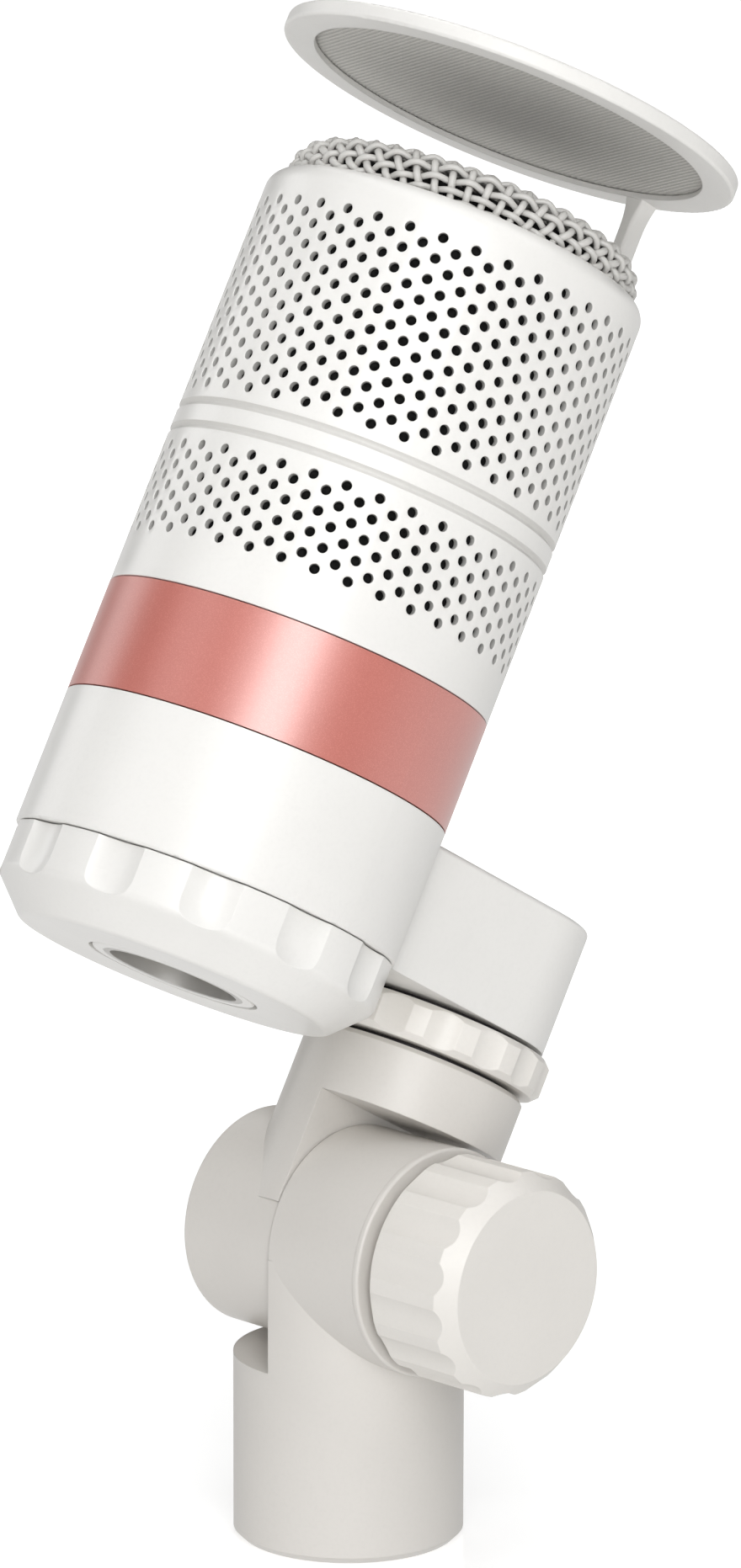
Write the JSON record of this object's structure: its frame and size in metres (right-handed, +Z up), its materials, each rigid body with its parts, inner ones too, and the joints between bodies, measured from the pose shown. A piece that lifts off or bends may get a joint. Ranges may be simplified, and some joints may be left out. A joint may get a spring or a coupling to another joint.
{
  "type": "desktop microphone",
  "caption": "Desktop microphone: perforated tube body, wire mesh dome, round pop filter on a stalk, fluted end cap, side swivel and tilting clamp mount.",
  "frame": {"origin": "centre of the stem's bottom face, on the stand thread's axis", "axes": "+Z up along the stem, +X along the tilt axis towards the clamp knob, the microphone leans back towards +Y at rest"},
  "size_m": [0.0718, 0.1204, 0.227],
  "materials": {
    "body_paint": "fine satin powder coat, warm white",
    "mount_paint": "satin powder coat, warm light grey",
    "coral_paint": "pearl metallic coral lacquer",
    "pop_plastic": "satin moulded plastic",
    "pop_fabric": "fine ribbed woven screen",
    "mesh_wire": "satin coated woven wire",
    "foam": "open-cell acoustic foam",
    "black_plastic": "matte moulded nylon",
    "black_rubber": "matte rubber",
    "socket_metal": "grey zinc casting",
    "contact_metal": "plated contacts",
    "brass": "turned brass",
    "steel": "turned steel",
    "aluminium": "turned aluminium",
    "board": "solder mask",
    "magnet": "nickel-plated magnet",
    "copper": "enamelled copper winding",
    "film": "thin formed film",
    "lead_cover": "insulated lead"
  },
  "bodies": {
    "stand_post": {"stem": "mount_paint", "thread_adapter": "brass", "tilt_bolt": "steel", "friction_disc": "black_plastic", "ear_washer": "mount_paint", "spring_washer": "steel"},
    "tilt_knob": {"tilt_knob": "mount_paint", "knob_insert": "brass"},
    "yoke": {"yoke": "mount_paint", "boss_cap": "mount_paint", "swivel_post": "steel", "lower_thrust_washer": "black_plastic", "swivel_nut": "steel"},
    "lock_ring": {"lock_ring": "mount_paint"},
    "microphone": {"rear_housing": "body_paint", "post_bush": "brass", "upper_thrust_washer": "black_plastic", "block_plug": "body_paint", "stalk_socket": "black_rubber", "socket_shell": "socket_metal", "socket_bezel": "body_paint", "socket_insulator": "black_plastic", "contact_pins": "contact_metal", "socket_plate": "aluminium", "circuit_board": "board", "board_spacers": "brass", "board_screws": "steel", "color_ring": "coral_paint", "body_shell": "body_paint", "chassis_sleeve": "black_plastic", "chassis_plate": "aluminium", "foam_liner": "foam", "grille_seat_ring": "black_plastic", "mesh_dome": "mesh_wire", "dome_foam": "foam", "capsule_cage": "black_plastic", "capsule_can": "aluminium", "magnet_cup": "steel", "magnet": "magnet", "pole_piece": "steel", "voice_coil": "copper", "diaphragm": "film", "capsule_grille": "aluminium", "lower_shock_ring": "black_rubber", "upper_shock_ring": "black_rubber", "signal_leads": "lead_cover"},
    "end_cap": {"end_cap": "body_paint"},
    "pop_filter": {"pop_frame": "pop_plastic", "pop_stalk": "pop_plastic", "pop_screen": "pop_fabric", "pop_snap_ring": "pop_plastic"}
  },
  "joints": [
    {"name": "tilt", "type": "hinge", "parent": "stand_post", "child": "yoke", "pos_m": [0, 0, 0.045], "axis": [1, 0, 0], "range_deg": [-59, 118]},
    {"name": "knob_turn", "type": "hinge", "parent": "stand_post", "child": "tilt_knob", "pos_m": [0, 0, 0.045], "axis": [1, 0, 0], "range_deg": [0, 540]},
    {"name": "swivel", "type": "hinge", "parent": "yoke", "child": "microphone", "pos_m": [0, 0, 0.045], "axis": [0, 0.4962, 0.8682], "continuous": true},
    {"name": "lock_ring_turn", "type": "hinge", "parent": "yoke", "child": "lock_ring", "pos_m": [0, 0, 0.045], "axis": [0, 0.4962, 0.8682], "range_deg": [0, 180]},
    {"name": "end_cap_turn", "type": "hinge", "parent": "microphone", "child": "end_cap", "pos_m": [0, -0.03517, 0.09079], "axis": [0, -0.4962, -0.8682], "range_deg": [0, 720]},
    {"name": "pop_filter_slide", "type": "slide", "parent": "microphone", "child": "pop_filter", "axis": [0, 0.4962, 0.8682], "range_m": [0, 0.0136]}
  ]
}
